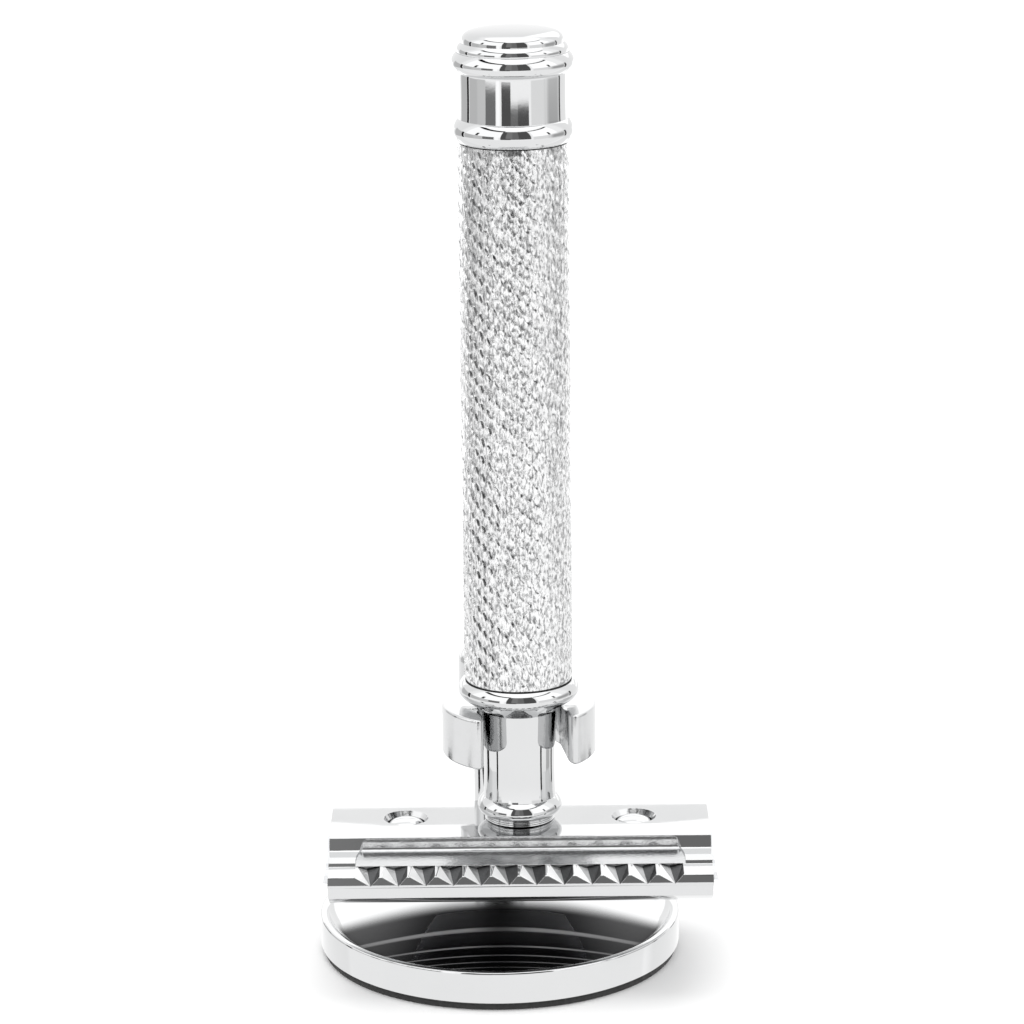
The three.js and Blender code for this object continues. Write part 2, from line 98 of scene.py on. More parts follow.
def soften(points, radius, closed=True, corner=25, steps=4):
    """Rounds each sharp corner of an outline with a small arc."""
    out = []
    count = len(points)
    for i, p in enumerate(points):
        if not closed and i in (0, count - 1):
            out.append(p)
            continue
        before, after = points[i - 1], points[(i + 1) % count]
        a, b = before - p, after - p
        if a.length < 1e-9 or b.length < 1e-9:
            continue
        turn = math.pi - a.angle(b)
        if math.degrees(turn) < corner:
            out.append(p)
            continue
        cut = min(radius * math.tan(turn / 2), a.length * 0.45, b.length * 0.45)
        start, end = p + a.normalized() * cut, p + b.normalized() * cut
        for k in range(steps + 1):
            t = k / steps
            out.append((1 - t) ** 2 * start + 2 * t * (1 - t) * p + t * t * end)
    return out


def add_piece(name, verts, faces, materials, sharp=32):
    """A mesh object from corners in millimetres, smooth except at sharp edges."""
    mesh = bpy.data.meshes.new(name)
    mesh.from_pydata([Vector(v) * MM for v in verts], [], faces)
    for material in materials:
        mesh.materials.append(material)
    bm = bmesh.new()
    bm.from_mesh(mesh)
    bmesh.ops.recalc_face_normals(bm, faces=bm.faces)
    bm.to_mesh(mesh)
    bm.free()
    shade(mesh, sharp)
    piece = bpy.data.objects.new(name, mesh)
    bpy.context.scene.collection.objects.link(piece)
    return piece


def shade(mesh, sharp=32):
    mesh.polygons.foreach_set("use_smooth", [True] * len(mesh.polygons))
    mesh.set_sharp_from_angle(angle=math.radians(sharp))


def ring_faces(rings, size, closed_path):
    """Quads between rings of the same size."""
    faces = []
    last = len(rings) if closed_path else len(rings) - 1
    for i in range(last):
        a, b = rings[i], rings[(i + 1) % len(rings)]
        for j in range(size):
            k = (j + 1) % size
            if len(a) == 1:
                faces.append((a[0], b[j], b[k]))
            elif len(b) == 1:
                faces.append((a[j], b[0], a[k]))
            else:
                faces.append((a[j], b[j], b[k], a[k]))
    return faces


def lathe(name, profile, materials, centre=HANDLE, steps=160):
    """A closed profile of radius and height turned about an upright axis."""
    verts, rings = [], []
    closed_path = profile[0].x > 1e-6
    for p in profile:
        if p.x < 1e-6:
            rings.append([len(verts)])
            verts.append((centre[0], centre[1], p.y))
            continue
        rings.append(list(range(len(verts), len(verts) + steps)))
        for j in range(steps):
            a = 2 * math.pi * j / steps
            verts.append((centre[0] + p.x * math.cos(a), centre[1] + p.x * math.sin(a), p.y))
    return add_piece(name, verts, ring_faces(rings, steps, closed_path), materials)


def inset(outline, amount):
    """The outline moved inwards; it runs anticlockwise."""
    out = []
    count = len(outline)
    for i, p in enumerate(outline):
        a = (p - outline[i - 1]).normalized()
        b = (outline[(i + 1) % count] - p).normalized()
        na, nb = Vector((-a.y, a.x)), Vector((-b.y, b.x))
        middle = (na + nb).normalized()
        out.append(p + middle * (amount / max(0.5, middle.dot(na))))
    return out


def prism(name, outline, low, high, materials, place, rounding=0.0, steps=5):
    """An outline run straight between two levels, its end edges rounded over."""
    area = sum(a.x * b.y - b.x * a.y for a, b in zip(outline, outline[1:] + outline[:1]))
    if area < 0:
        outline = outline[::-1]
    levels = []
    if rounding:
        for i in range(steps + 1):
            a = math.pi / 2 * i / steps
            levels.append((low + rounding * (1 - math.sin(a)), rounding * (1 - math.cos(a))))
        levels.reverse()
        levels += [(low + high - z, off) for z, off in reversed(levels)]
    else:
        levels = [(low, 0), (high, 0)]
    verts, rings = [], []
    for level, off in levels:
        shape = inset(outline, off) if off else outline
        rings.append(list(range(len(verts), len(verts) + len(shape))))
        verts += [place(p.x, p.y, level) for p in shape]
    faces = ring_faces(rings, len(outline), False)
    faces += [tuple(rings[0]), tuple(reversed(rings[-1]))]
    return add_piece(name, verts, faces, materials)


def combine(target, tool, operation):
    """Joins, cuts or intersects two pieces and keeps each one's material on its own faces.
    It works at a thousand times the size, where the solver is surer of fine detail."""
    larger = Matrix.Scale(1 / MM, 4)
    target.data.transform(larger)
    tool.data.transform(larger)
    modifier = target.modifiers.new("solid", "BOOLEAN")
    modifier.operation = operation
    modifier.solver = "MANIFOLD"
    modifier.material_mode = "TRANSFER"
    modifier.object = tool
    bpy.context.view_layer.update()
    evaluated = target.evaluated_get(bpy.context.evaluated_depsgraph_get())
    mesh = bpy.data.meshes.new_from_object(evaluated)
    mesh.transform(larger.inverted())
    target.modifiers.clear()
    target.data = mesh
    bpy.data.objects.remove(tool)
    shade(mesh)
    return target


def level_normals(piece):
    """Keeps flat faces flat beside their rounded edges."""
    modifier = piece.modifiers.new("normals", "WEIGHTED_NORMAL")
    modifier.weight = 80
    modifier.keep_sharp = True


def settle(piece, body, slot, *nodes):
    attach(piece, body)
    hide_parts(*nodes)
    return piece


# ---------------------------------------------------------------- material helpers


def new_material(name):
    material = bpy.data.materials.new(name)
    material.use_nodes = True
    tree = material.node_tree
    tree.nodes.clear()
    shader = tree.nodes.new("ShaderNodeBsdfPrincipled")
    output = tree.nodes.new("ShaderNodeOutputMaterial")
    tree.links.new(shader.outputs[0], output.inputs[0])
    return material, tree, shader


def node(tree, kind, **values):
    item = tree.nodes.new(kind)
    for key, value in values.items():
        setattr(item, key, value)
    return item


def plug(tree, socket, value):
    """Links an output, or sets a plain value."""
    if isinstance(value, bpy.types.NodeSocket):
        tree.links.new(value, socket)
    else:
        socket.default_value = value


def maths(tree, operation, a, b=0.0, c=0.0, clamp=False):
    item = node(tree, "ShaderNodeMath", operation=operation, use_clamp=clamp)
    for socket, value in zip(item.inputs, (a, b, c)):
        plug(tree, socket, value)
    return item.outputs[0]


def remap(tree, value, low, high, to_low, to_high):
    item = node(tree, "ShaderNodeMapRange", interpolation_type="SMOOTHSTEP")
    for socket, amount in zip(item.inputs[:5], (value, low, high, to_low, to_high)):
        plug(tree, socket, amount)
    return item.outputs[0]


def grain(tree, scale, detail=3.0, stretch=(1, 1, 1), rough=0.55):
    """Noise in object space, with its size in grains per metre."""
    place = node(tree, "ShaderNodeTexCoord")
    mapping = node(tree, "ShaderNodeMapping")
    mapping.inputs["Scale"].default_value = stretch
    tree.links.new(place.outputs["Object"], mapping.inputs[0])
    item = node(tree, "ShaderNodeTexNoise")
    item.inputs["Scale"].default_value = scale
    item.inputs["Detail"].default_value = detail
    item.inputs["Roughness"].default_value = rough
    tree.links.new(mapping.outputs[0], item.inputs["Vector"])
    return item.outputs["Fac"]


def bump(tree, height, distance, strength=1.0, normal=None):
    item = node(tree, "ShaderNodeBump")
    item.inputs["Strength"].default_value = strength
    item.inputs["Distance"].default_value = distance * MM
    tree.links.new(height, item.inputs["Height"])
    if normal is not None:
        tree.links.new(normal, item.inputs["Normal"])
    return item.outputs[0]


def tint(tree, factor, dark, light):
    item = node(tree, "ShaderNodeMix", data_type="RGBA")
    plug(tree, item.inputs[0], factor)
    item.inputs[6].default_value = (*dark, 1)
    item.inputs[7].default_value = (*light, 1)
    return item.outputs[2]


def metal(name, dark, light, rough, fine=0.0006, cast=None, edge=0.0, stretch=(1, 1, 1),
          painted_pit_shade=None, metallic=1.0):
    """Plated or plain metal. rough is its clean and its smudged roughness, fine the depth of the
    finest ripple, cast an optional (grains per metre, depth) for a pitted surface, whose pits can
    be darkened to a given colour as painted shade."""
    material, tree, shader = new_material(name)
    smudge = grain(tree, 130, 4.0, rough=0.6)
    haze = grain(tree, 900, 2.0)
    colour = tint(tree, smudge, dark, light)
    shader.inputs["Metallic"].default_value = metallic
    mixed = maths(tree, "MULTIPLY_ADD", haze, 0.3, maths(tree, "MULTIPLY", smudge, 0.7))
    plug(tree, shader.inputs["Roughness"], remap(tree, mixed, 0.35, 0.72, *rough))
    normal = None
    if edge:
        bevel = node(tree, "ShaderNodeBevel", samples=4)
        bevel.inputs["Radius"].default_value = edge * MM
        normal = bevel.outputs[0]
    normal = bump(tree, grain(tree, 2600, 2.0), fine, 1.0, normal)
    if cast:
        pits = grain(tree, cast[0], 5.0, stretch, 0.65)
        normal = bump(tree, pits, cast[1], 1.0, normal)
    # Painted shade: darkens the pits of the cast noise, standing in for shade in the crevices.
    if painted_pit_shade:
        mix = node(tree, "ShaderNodeMix", data_type="RGBA")
        plug(tree, mix.inputs[0], remap(tree, pits, 0.36, 0.56, 0.0, 1.0))
        mix.inputs[6].default_value = (*painted_pit_shade, 1)
        tree.links.new(colour, mix.inputs[7])
        colour = mix.outputs[2]
    plug(tree, shader.inputs["Base Color"], colour)
    plug(tree, shader.inputs["Normal"], normal)
    return material


def dish_metal(name):
    """Polished like the rest of the stand, with a painted reflection over the front of the dish's
    floor: dark, with thin light arcs that lie closer together towards the rim."""
    material = metal(name, CHROME_DARK, CHROME_LIGHT, (0.03, 0.07))
    tree = material.node_tree
    shader = next(n for n in tree.nodes if n.type == "BSDF_PRINCIPLED")
    place = node(tree, "ShaderNodeTexCoord")
    split = node(tree, "ShaderNodeSeparateXYZ")
    tree.links.new(place.outputs["Object"], split.inputs[0])
    x, y, z = split.outputs
    # Painted reflection: where this mask is high, the floor takes a dark colour with light arcs and
    # lighter sides. Its grazing reflection is turned down and its roughness raised. Together these
    # stand in for the dark things the chrome reflects.
    arch = maths(tree, "MULTIPLY_ADD", maths(tree, "MULTIPLY", x, x), 34.0, y)
    painted_reflection_mask = remap(tree, arch, 4.0 * MM, 9.0 * MM, 1.0, 0.0)
    radius = maths(tree, "SQRT", maths(tree, "ADD", maths(tree, "MULTIPLY", x, x),
                                       maths(tree, "MULTIPLY", y, y)))
    inside = remap(tree, radius, 18.0 * MM, 18.7 * MM, 1.0, 0.0)
    above = remap(tree, z, 2.0 * MM, 2.2 * MM, 0.0, 1.0)
    dark = maths(tree, "MULTIPLY", maths(tree, "MULTIPLY", painted_reflection_mask, inside), above)
    front = maths(tree, "MULTIPLY", maths(tree, "MINIMUM", arch, -0.5 * MM), -1.0 / MM)
    phase = maths(tree, "MULTIPLY", front, maths(tree, "MULTIPLY_ADD", front, 0.0157, 0.0296))
    wave = maths(tree, "COSINE", maths(tree, "MULTIPLY", maths(tree, "SUBTRACT", phase, 0.08),
                                       2 * math.pi))
    arcs = maths(tree, "MULTIPLY", remap(tree, wave, 0.8, 1.0, 0.0, 1.0),
                 remap(tree, front, 0.9, 1.4, 0.0, 1.0))
    sides = remap(tree, maths(tree, "ABSOLUTE", x), 5.0 * MM, 17.0 * MM, 0.0, 0.4)
    painted_reflection_stripes = maths(tree, "MULTIPLY_ADD", arcs, 0.7, sides, clamp=True)
    painted_reflection_colour = tint(tree, painted_reflection_stripes, (0.045, 0.045, 0.046), (0.36, 0.36, 0.363))
    old = shader.inputs["Base Color"].links[0].from_socket
    item = node(tree, "ShaderNodeMix", data_type="RGBA")
    plug(tree, item.inputs[0], dark)
    tree.links.new(old, item.inputs[6])
    tree.links.new(painted_reflection_colour, item.inputs[7])
    tree.links.new(item.outputs[2], shader.inputs["Base Color"])
    plug(tree, shader.inputs["Specular Tint"], tint(tree, dark, (1, 1, 1), (0.25, 0.25, 0.25)))
    polish = shader.inputs["Roughness"].links[0].from_socket
    plug(tree, shader.inputs["Roughness"], maths(tree, "MULTIPLY_ADD", dark, 0.3, polish))
    return material


def dull(name, dark, light, rough, scale, depth):
    """Rubber or plastic with a fine moulded grain."""
    material, tree, shader = new_material(name)
    speckle = grain(tree, scale, 5.0, rough=0.65)
    plug(tree, shader.inputs["Base Color"], tint(tree, speckle, dark, light))
    plug(tree, shader.inputs["Roughness"], remap(tree, speckle, 0.3, 0.7, *rough))
    plug(tree, shader.inputs["Normal"], bump(tree, speckle, depth))
    return material


CHROME_DARK = (0.60, 0.605, 0.61)
CHROME_LIGHT = (0.645, 0.648, 0.65)
REFLECTANCE = 0.63  # what chrome gives back of a panel's light

mirror = metal("mirror_chrome", CHROME_DARK, CHROME_LIGHT, (0.025, 0.06))
stand_mirror = metal("stand_chrome", CHROME_DARK, CHROME_LIGHT, (0.035, 0.09))
dish_chrome_painted_reflection = dish_metal("dish_chrome_painted_reflection")
plate_mirror = metal("plate_chrome", CHROME_DARK, CHROME_LIGHT, (0.03, 0.08), edge=0.07)
plate_cast = metal("plate_cast", (0.52, 0.525, 0.53), (0.63, 0.635, 0.64), (0.06, 0.16),
                   cast=(2400, 0.022), edge=0.06)
# Painted highlight: a near-white, half-metallic finish for part of each notch's walls, standing in for
# the bright reflection they would show.
plate_painted_highlight = metal("plate_painted_highlight", (0.84, 0.842, 0.845), (0.93, 0.932, 0.935), (0.4, 0.55),
                     cast=(2800, 0.01), metallic=0.3)
plate_cut = metal("plate_cut", (0.56, 0.565, 0.57), (0.64, 0.642, 0.645), (0.06, 0.14),
                  cast=(1500, 0.012), edge=0.05)
plate_rough = metal("plate_rough", (0.22, 0.222, 0.225), (0.66, 0.665, 0.67), (0.25, 0.45),
                    cast=(3800, 0.06))
# Painted shade: a dark copy of plate_rough for one side wall of each notch, standing in for the dark
# reflection it would show.
plate_painted_shade = metal("plate_painted_shade", (0.05, 0.051, 0.052), (0.13, 0.132, 0.135), (0.3, 0.5),
                    cast=(3800, 0.06))
cap_mirror = metal("cap_chrome", CHROME_DARK, CHROME_LIGHT, (0.03, 0.08), edge=0.08)
fork_satin = metal("fork_chrome", (0.58, 0.585, 0.59), (0.64, 0.642, 0.645), (0.10, 0.22),
                   cast=(700, 0.012), edge=0.12)
# The grip's pits are darkened as painted shade.
knurl_chrome = metal("knurl_chrome", (0.74, 0.742, 0.745), (0.88, 0.882, 0.885), (0.05, 0.12),
                     cast=(3800, 0.04), stretch=(1, 1, 0.4), painted_pit_shade=(0.27, 0.272, 0.276))
plain_steel = metal("plain_steel", (0.42, 0.43, 0.45), (0.6, 0.61, 0.62), (0.25, 0.42),
                    cast=(1200, 0.01))
blade_steel = metal("blade_steel", (0.55, 0.56, 0.58), (0.7, 0.71, 0.72), (0.12, 0.26),
                    cast=(2600, 0.003))
brass = metal("brass", (0.62, 0.45, 0.19), (0.8, 0.62, 0.3), (0.2, 0.4), cast=(1400, 0.008))
rubber = dull("pad_rubber", (0.012, 0.012, 0.012), (0.03, 0.03, 0.03), (0.55, 0.85), 2200, 0.03)
plastic = dull("shim_plastic", (0.015, 0.015, 0.016), (0.03, 0.03, 0.031), (0.35, 0.55), 3000, 0.01)

# ---------------------------------------------------------------- stand

dish = lathe(
    "dish_shell",
    soften(path(
        (0, 2.4), (8.9, 2.4, 17.8, 3.5), (18.6, 3.75, 19.1, 4.28), (19.35, 4.4),
        (19.78, 4.4), (20, 4.4, 20, 4.15), (20, 1.0), (19.6, 0.6), (18.1, 0.6), (18.1, 1.7), (0, 1.7),
        fine=20,
    ), 0.06, closed=False),
    [dish_chrome_painted_reflection], centre=(0, 0), steps=256,
)
settle(dish, "stand", "stand_chrome", "base_dish")

pad = lathe(
    "pad_disc",
    soften(path((0, 0), (19.5, 0), (19.6, 0.1), (19.6, 0.6), (0, 0.6)), 0.05, closed=False),
    [rubber], centre=(0, 0), steps=192,
)
settle(pad, "stand", "pad_rubber", "base_pad")

post = lathe(
    "post_turned",
    soften(path(
        (0, 11), (1.65, 11), (1.65, 2.7), (2.6, 2.7), (2.8, 2.9), (2.8, 24.45),
        (2.65, 24.59), (2.2, 24.59), (2.2, 29.2), (0, 29.2),
    ), 0.05, closed=False),
    [stand_mirror], centre=POST, steps=96,
)
settle(post, "stand", "stand_chrome", "post")


def on_fork(x, y, z):
    """From the fork's own frame, with its boss on the origin, to the part's frame."""
    c, s = math.cos(FORK_TURN), math.sin(FORK_TURN)
    return (POST[0] + c * x - s * y, POST[1] + s * x + c * y, z)


FORK_BOTTOM, FORK_TOP, BOSS_TOP = 24.6, 30.2, 31.2
RING, SLOT, MOUTH, FLARE, WEB_HALF = 8.4, 4.6, 38.0, 1.1, 4.0
ROUND = 0.3  # how far the fork's edges are rounded over


def fork_outline():
    """The ring with its mouth towards -Y, and the web back to the boss."""
    corner = Vector((RING * math.sin(math.radians(MOUTH)),
                     -REACH - RING * math.cos(math.radians(MOUTH))))
    flare = Vector((SLOT, corner.y + FLARE))
    run = (corner - flare).normalized()
    join = math.degrees(math.acos(WEB_HALF / RING))
    outer = arc((0, -REACH), RING, MOUTH - 90 + 6, join, 44)
    half = arc((0, -REACH), SLOT, 90, 0, 24)
    half += path(half[-1], flare + Vector((0, 0.6)), (*flare, *(flare + run * 0.5)))[1:]
    half += path(half[-1], corner - run * 0.7, (*corner, *outer[0]))[1:]
    half += outer[1:] + [Vector((WEB_HALF, -1.0))]
    return half + [Vector((-p.x, p.y)) for p in reversed(half[1:])]


fork = prism("fork_casting", fork_outline(), FORK_BOTTOM, FORK_TOP, [fork_satin], on_fork,
             rounding=ROUND)
seat = lathe(
    "seat_tool", path((0, 29.5), (4.65, 29.5), (7.03, 30.4), (7.03, 31), (0, 31)),
    [mirror], steps=160,
)
combine(fork, seat, "DIFFERENCE")
boss = lathe(
    "boss_tool",
    soften(path(
        (0, FORK_BOTTOM + 0.01), (4.1, FORK_BOTTOM + 0.01), (4.4, FORK_BOTTOM, 4.4, FORK_BOTTOM + 0.3),
        (4.4, BOSS_TOP - 1.2), (4.4, BOSS_TOP, 3.0, BOSS_TOP), (0, BOSS_TOP),
    ), 0.05, closed=False),
    [fork_satin], centre=POST, steps=128,
)
combine(fork, boss, "UNION")
bore = lathe("bore_tool", path((0, 20), (2.35, 20), (2.35, 29.5), (0, 29.5)), [plain_steel],
             centre=POST, steps=64)
combine(fork, bore, "DIFFERENCE")
grub_bore = prism(
    "grub_tool", arc((0, 0), 1.6, 0, 337.5, 15), 1.0, 5.5, [plain_steel],
    lambda x, y, z: on_fork(x, z, 27.4 + y),
)
combine(fork, grub_bore, "DIFFERENCE")
level_normals(fork)
settle(fork, "stand", "fork_chrome", "fork")

# ---------------------------------------------------------------- handle

knob = lathe(
    "knob_turned",
    soften(path(
        (0, 84), (4.35, 84), (4.35, 92.15), (5.76, 92.15), (5.76, 92.0), (5.9, 92.0),
        (7.15, 93.1, 5.93, 94.4), (5.82, 94.45), (5.76, 96.9, 5.82, 99.33),
        (7.25, 100.15, 6.0, 101.45), (5.92, 101.44), (6.07, 101.95, 5.47, 102.43), (5.43, 102.43),
        (5.48, 103.1, 4.9, 103.45), (4.02, 103.98, 0, 103.98),
        fine=18,
    ), 0.04, closed=False, corner=40),
    [mirror], steps=256,
)
settle(knob, "handle", "handle_chrome", "end_knob")

ferrule = lathe(
    "ferrule_turned",
    soften(path(
        (0, 34), (2.72, 34), (2.72, 27.1), (3.1, 27.1), (3.1, 16.84), (3.66, 16.84),
        (3.95, 16.95, 3.7, 17.07), (3.98, 17.19, 3.7, 17.31), (3.7, 17.4), (3.88, 17.45),
        (5.3, 18.25, 4.0, 19.5),
        (3.94, 19.55), (3.75, 24, 4.1, 29.45), (6.2, 31), (7, 31.95, 6.0, 32.85), (5.76, 32.85),
        (5.76, 32.7), (4.35, 32.7), (4.35, 40), (0, 40), fine=18,
    ), 0.05, closed=False),
    [mirror], steps=224,
)
settle(ferrule, "handle", "handle_chrome", "neck_ferrule")


def washer(name, bottom, node_name):
    """A thin washer with rounded edges between two turned parts."""
    top = bottom + 0.26
    piece = lathe(
        name,
        soften(path((4.45, bottom), (5.72, bottom), (5.72, top), (4.45, top)), 0.06),
        [plastic], steps=128,
    )
    settle(piece, "handle", "shim_plastic", node_name)


washer("shim_lower_ring", 32.72, "lower_shim")
washer("shim_upper_ring", 91.87, "upper_shim")

# Knurling: columns of slanted slits, each column a third of a row lower than the one before.
# The mesh leans with the slits, and its lines stand at their two edges.
COLUMNS = 45
ROW_HEIGHT = 1.93
EDGES = (-0.11, 0.07)  # of a slit's steep side, in columns
FADE = 0.42  # where its gentle side ends
ROWS = 352
SLIT_DEPTH = 0.17
SLIT_LENGTH = 0.42  # to each side of its middle
SWELL = 0.06  # height of the soft rounding between slits
END_DROP = 0.14  # how far the grip's two ends are turned down
END_BAND = (0.05, 0.4)  # where, from each end, the turned band passes into the knurling


def slit(w, z):
    """Depth of the slits at w columns along the leaning grid and height z."""
    depth = 0.0
    for third in (math.floor(w * 3), math.floor(w * 3) + 1, math.floor(w * 3) - 1):
        off = w - third / 3
        if not EDGES[0] < off < FADE:
            continue
        across = (off - EDGES[0]) / (EDGES[1] - EDGES[0])
        if off > EDGES[1] - 1e-6:
            across = (FADE - off) / (FADE - EDGES[1])
        row = round((third - 2 * (third / 3 - z / ROW_HEIGHT)) / 3)
        for r in (row - 1, row, row + 1):
            if (third - 3 * r) % 2:
                continue
            column = (third - 3 * r) // 2
            along = z - (r - column / 3) * ROW_HEIGHT
            reach = math.exp(-((along / SLIT_LENGTH) ** 14))
            turn = 2 * math.pi * column / COLUMNS
            chance = noise.noise(Vector((9 * math.cos(turn), 9 * math.sin(turn), z * 0.8)))
            depth = max(depth, SLIT_DEPTH * (0.95 + 0.35 * chance) * across * reach)
    return depth


def knurl_radius(w, z):
    u = w - z / ROW_HEIGHT
    turn = 2 * math.pi * u / COLUMNS
    swell = math.cos(2 * math.pi * u) + math.cos(2 * math.pi * (z / ROW_HEIGHT + u / 3))
    rough = noise.noise(Vector((14 * math.cos(turn), 14 * math.sin(turn), z * 1.3))) * 0.02
    return GRIP_RADIUS - 0.02 - SWELL * (2 - swell) / 4 - slit(w, z) + min(rough, 0.015)


def knurled_grip():
    lines = [third / 3 + edge for third in range(COLUMNS * 3) for edge in EDGES]
    steps = len(lines)
    verts, rings = [], []
    for i in range(ROWS + 1):
        z = GRIP_BOTTOM + (GRIP_TOP - GRIP_BOTTOM) * i / ROWS
        edge = min(z - GRIP_BOTTOM, GRIP_TOP - z)
        fade = min(1.0, max(0.0, (edge - END_BAND[0]) / (END_BAND[1] - END_BAND[0])))
        rings.append(list(range(len(verts), len(verts) + steps)))
        for w in lines:
            a = 2 * math.pi * (w - z / ROW_HEIGHT) / COLUMNS
            r = knurl_radius(w, z) * fade + (GRIP_RADIUS - END_DROP) * (1 - fade)
            verts.append((HANDLE[0] + r * math.cos(a), HANDLE[1] + r * math.sin(a), z))
    for z in (GRIP_TOP, GRIP_BOTTOM):
        rings.append(list(range(len(verts), len(verts) + steps)))
        for w in lines:
            a = 2 * math.pi * (w - z / ROW_HEIGHT) / COLUMNS
            verts.append((HANDLE[0] + GRIP_BORE * math.cos(a), HANDLE[1] + GRIP_BORE * math.sin(a), z))
    return add_piece("grip_knurled", verts, ring_faces(rings, steps, True), [knurl_chrome], 24)


settle(knurled_grip(), "handle", "grip_chrome", "grip_sleeve")

# ---------------------------------------------------------------- head


def across_head(y, z, x):
    """From a cross-section drawn in depth and height to the part's frame."""
    return (HANDLE[0] + x, HANDLE[1] + y, z)


def on_head(x, y, z):
    return (HANDLE[0] + x, HANDLE[1] + y, z)


def bend_arc(radius, half, steps):
    """The surface bent round the blade's axis, from +half to -half."""
    angle = math.degrees(math.asin(half / radius))
    return arc((0, BEND_CENTRE), radius, 270 + angle, 270 - angle, steps)


def guard_plate():
    flank = path(
        (2.8, 16.8), (6.0, 16.66), (6.55, 15.5), (6.62, 15.35, 6.8, 15.32), (9.22, 14.96),
        (9.42, 14.56), (11.88, 14.4), (12.06, 14.38, 12.13, 14.2), (12.38, 13.55),
        (12.4, 13.1, 12.0, 13.1), fine=16,
    )
    section = flank + bend_arc(BEND_RADIUS - BLADE_ROOM, 11.1, 40)
    section += [Vector((-p.x, p.y)) for p in reversed(flank)]
    plate = prism("plate_casting", soften(section, 0.12, steps=4), -HEAD_HALF, HEAD_HALF,
                  [plate_mirror, plate_cast, plate_cut, plate_rough, plate_painted_shade, plate_painted_highlight],
                  across_head, rounding=0.07, steps=3)
    for side in (-1, 1):
        combine(plate, pocket(side), "DIFFERENCE")
        for i in range(NOTCHES):
            combine(plate, notch((i - (NOTCHES - 1) / 2) * NOTCH_PITCH, side), "DIFFERENCE")
    for x, radius, mouth in ((0, 2.75, 2.75), (-PIN_SPREAD, 2.05, 2.45), (PIN_SPREAD, 2.05, 2.45)):
        low, high = THROUGH
        outline = path((0, low), (radius, low), (radius, 16.25), (mouth, 16.8), (mouth, high),
                       (0, high))
        hole = lathe("hole_tool", outline, [plate_cut], centre=(HANDLE[0] + x, HANDLE[1]), steps=96)
        combine(plate, hole, "DIFFERENCE")
    level_normals(plate)
    settle(plate, "plate", "plate_chrome", "guard_plate")


def pocket(side):
    """A long shallow recess in one flank, rounded in plan at its ends."""
    section = path(
        (6.02, 17), (6.03, 16.48), (6.2, 16.22), (6.21, 15.6), (6.25, 15.25, 6.75, 15.16),
        (9.5, 14.62), (9.7, 17),
    )
    section = [Vector((side * p.x, p.y)) for p in section]
    half, inner, outer, turn = 17.8, 5.98, 9.6, 1.4
    plan = path(
        (-half + turn, inner), (half - turn, inner), (half, inner, half, inner + 2 * turn),
        (half, outer), (-half, outer), (-half, inner + 2 * turn),
        (-half, inner, -half + turn, inner),
    )
    plan = [Vector((p.x, side * p.y)) for p in plan]
    body = prism("pocket_tool", section, -half - 1, half + 1, [plate_cast], across_head)
    limit = prism("plan_tool", plan, 13, 18, [plate_cast], on_head)
    return combine(body, limit, "INTERSECT")


def notch(x, side):
    """An uneven V wedge whose valley falls towards the front and leans sideways."""
    lean = 0.5
    rear = (9.2, lean / 2, 14.3, 14.6, 1.05, 1.45)
    front = (12.5, -lean / 2, 13.4, 14.45, 2.1, 1.05)
    verts = []
    for y, shift, valley, top, left, right in (rear, front):
        for across, z in ((0, valley), (left, top), (-right, top)):
            verts.append(on_head(x + side * (shift + across), side * y, z))
    faces = [(0, 2, 1), (3, 4, 5), (0, 1, 3), (1, 4, 3), (1, 2, 5), (1, 5, 4), (2, 0, 3), (2, 3, 5)]
    tool = add_piece("notch_tool", verts, faces, [plate_cut, plate_rough, plate_painted_shade, plate_painted_highlight])
    # The rear end and one triangle of the wall towards the left edge take the rough cast finish, and
    # its other triangle takes the painted highlight. The wall towards the right edge takes the painted
    # shade.
    for index, finish in ((0, 1), (2, 1), (3, 3), (6, 2), (7, 2)):
        tool.data.polygons[index].material_index = finish
    return tool


def cap():
    lip, half, side_low, apex = 10.55, 10.9, 11.5, 8.3
    hollow = BEND_RADIUS + BLADE_ROOM
    lip_top = BEND_CENTRE - math.sqrt(hollow ** 2 - lip ** 2)
    rise = side_low - apex
    dome = (half ** 2 + rise ** 2) / (2 * rise)
    angle = math.degrees(math.asin(half / dome))
    section = path((lip, lip_top), (half, lip_top - 0.03))
    section += arc((0, apex + dome), dome, 270 + angle, 270 - angle, 56)
    section += path((-half, lip_top - 0.03), (-lip, lip_top))
    section += bend_arc(hollow, lip, 40)[::-1][1:-1]
    solid = prism("cap_shell", soften(section, 0.12, corner=18), -HEAD_HALF, HEAD_HALF,
                  [cap_mirror], across_head, rounding=0.07, steps=3)
    round_off = 1.0
    side = path(
        (-HEAD_HALF + round_off, 0), (HEAD_HALF - round_off, 0), (HEAD_HALF, 0, HEAD_HALF, round_off),
        (HEAD_HALF + 0.01, 6), (-HEAD_HALF - 0.01, 6), (-HEAD_HALF, round_off),
        (-HEAD_HALF, 0, -HEAD_HALF + round_off, 0),
    )
    ends = prism("ends_tool", side, -half - 1, half + 1, [cap_mirror],
                 lambda x, z, y: on_head(x, y, apex + z))
    combine(solid, ends, "INTERSECT")
    for x, radius in ((0, 2.52), (-PIN_SPREAD, PIN_RADIUS + 0.1), (PIN_SPREAD, PIN_RADIUS + 0.1)):
        top = THROUGH[1]
        socket = lathe("socket_tool", path((0, 9.4), (radius, 9.4), (radius, top), (0, top)),
                       [cap_mirror], centre=(HANDLE[0] + x, HANDLE[1]), steps=64)
        combine(solid, socket, "DIFFERENCE")
    level_normals(solid)
    settle(solid, "cap", "cap_chrome", "cap")


